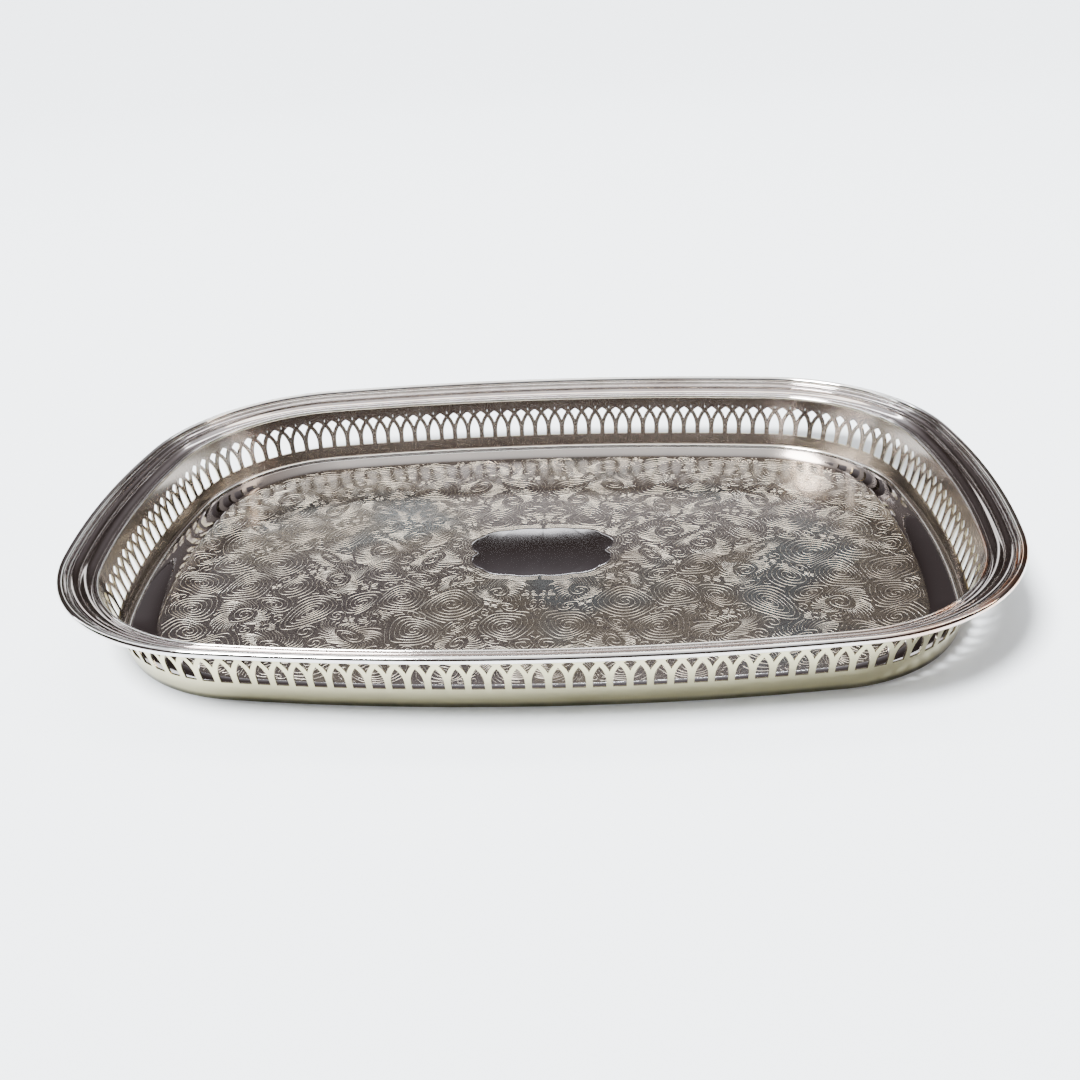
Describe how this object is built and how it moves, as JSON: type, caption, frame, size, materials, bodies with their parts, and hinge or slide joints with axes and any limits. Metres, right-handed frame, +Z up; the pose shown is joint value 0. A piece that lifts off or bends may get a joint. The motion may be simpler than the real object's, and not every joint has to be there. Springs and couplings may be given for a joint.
{
  "type": "gallery vanity tray",
  "caption": "Oblong tray with bowed sides, a wall of pierced interlaced arches, a stepped rim with a rolled outer bead, and a chased floor round a plain centre shield.",
  "frame": {"origin": "under the middle of the floor plate, on the surface that the tray rests on", "axes": "+Z up, +X along the tray's length, +Y to its back"},
  "size_m": [0.4, 0.279, 0.0356],
  "materials": {
    "floor": "polished silver plate, chased all over with scrolls",
    "floor_reed": "bright polished silver wire",
    "gallery": "warm polished silver plate, a little tarnished in the piercings",
    "rim": "mirror polished silver plate with fine wiping marks",
    "outer_bead": "mirror polished silver wire, worn warm on its outer side",
    "inner_bead": "bright polished silver wire",
    "rim_reed": "bright polished silver wire"
  },
  "bodies": {
    "root": {"floor_plate": "floor", "floor_reed": "floor_reed", "rim_inner_bead": "inner_bead", "rim_reed": "rim_reed", "gallery_back": "gallery", "rim_back": "rim", "outer_bead_back": "outer_bead", "gallery_left": "gallery", "rim_left": "rim", "outer_bead_left": "outer_bead", "gallery_front": "gallery", "rim_front": "rim", "outer_bead_front": "outer_bead", "gallery_right": "gallery", "rim_right": "rim", "outer_bead_right": "outer_bead"}
  },
  "joints": []
}
